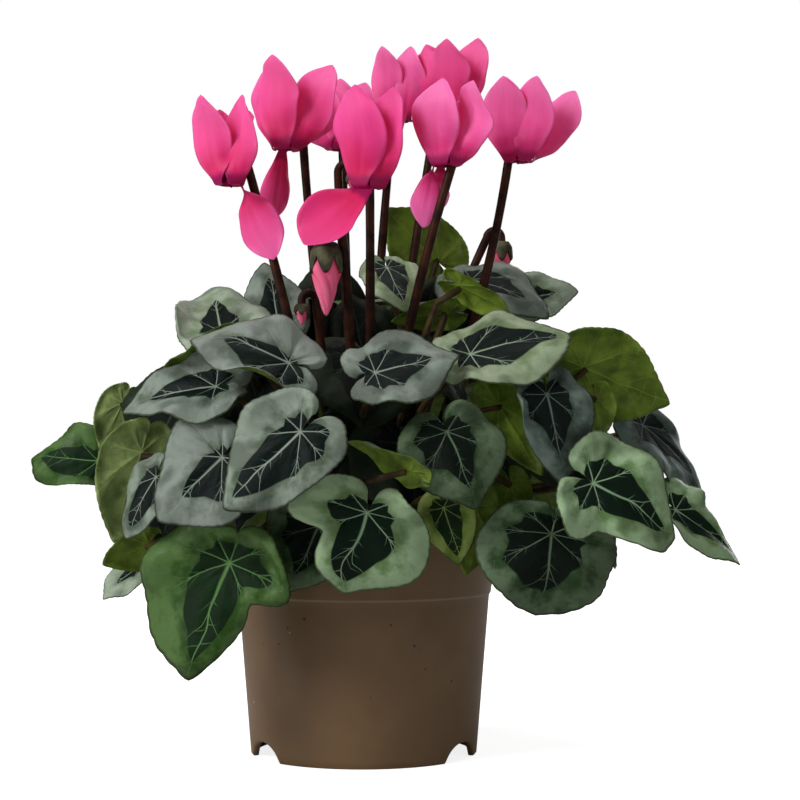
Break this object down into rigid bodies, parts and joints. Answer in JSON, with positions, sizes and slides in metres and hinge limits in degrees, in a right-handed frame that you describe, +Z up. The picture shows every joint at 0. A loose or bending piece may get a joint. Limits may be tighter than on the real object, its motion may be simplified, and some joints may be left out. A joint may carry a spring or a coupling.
{
  "type": "potted plant",
  "caption": "Flowering cyclamen in a brown plastic grower's pot: a low dome of heart-shaped silver-marked leaves under pink blooms with swept-back petals on bare red-brown stems.",
  "frame": {"origin": "centre of the whole plant's box in plan, on the plane that the pot stands on", "axes": "+Z up, the front of the plant faces -Y, +X to the viewer's right"},
  "size_m": [0.3012, 0.233, 0.3172],
  "materials": {
    "pot_plastic": "satin taupe",
    "potting_soil": "rough, crumbly",
    "leaf_stalk": "satin",
    "leaf_blade": "satin, patterned silver and dark green",
    "flower_stem": "satin",
    "petal": "soft satin",
    "bud": "soft satin"
  },
  "bodies": {
    "root": {"pot": "pot_plastic", "soil": "potting_soil", "tuber_and_leaf_stalks": "leaf_stalk", "leaf_low_left_front": "leaf_blade", "leaf_low_left_inner": "leaf_blade", "leaf_low_front": "leaf_blade", "leaf_low_right_small": "leaf_blade", "leaf_low_right_back": "leaf_blade", "leaf_mid_right_front": "leaf_blade", "leaf_mid_front_turned": "leaf_blade", "leaf_low_right_big": "leaf_blade", "leaf_right_bright": "leaf_blade", "leaf_right_dark": "leaf_blade", "leaf_far_right": "leaf_blade", "leaf_right_turned": "leaf_blade", "leaf_right_turned_low": "leaf_blade", "leaf_mid_right_dark": "leaf_blade", "leaf_mid_turned": "leaf_blade", "leaf_mid_right_pale": "leaf_blade", "leaf_top_right": "leaf_blade", "leaf_top_centre": "leaf_blade", "leaf_top_left": "leaf_blade", "leaf_upper_left": "leaf_blade", "leaf_crown_left": "leaf_blade", "leaf_left_upper": "leaf_blade", "leaf_left_turned": "leaf_blade", "leaf_left_grey": "leaf_blade", "leaf_front_left": "leaf_blade", "leaf_left_olive": "leaf_blade", "leaf_left_low_grey": "leaf_blade", "leaf_far_left": "leaf_blade", "leaf_far_left_pale": "leaf_blade", "leaf_low_left_olive": "leaf_blade", "leaf_low_left_pale": "leaf_blade", "leaf_top_right_silver": "leaf_blade", "leaf_top_right_turned": "leaf_blade", "leaf_crown_back": "leaf_blade", "leaf_far_top_right": "leaf_blade", "leaf_crown_centre": "leaf_blade", "leaf_crown_turned": "leaf_blade", "flower_stem_1": "flower_stem", "flower_stem_2": "flower_stem", "flower_stem_3": "flower_stem", "flower_stem_4": "flower_stem", "flower_stem_5": "flower_stem", "flower_stem_6": "flower_stem", "flower_stem_7": "flower_stem", "flower_stem_8": "flower_stem", "corolla_1": "petal", "corolla_2": "petal", "corolla_3": "petal", "corolla_4": "petal", "corolla_5": "petal", "corolla_6": "petal", "corolla_7": "petal", "corolla_8": "petal", "bud_front": "bud", "bud_right": "bud", "bud_low": "bud", "bud_back": "bud"}
  },
  "joints": []
}
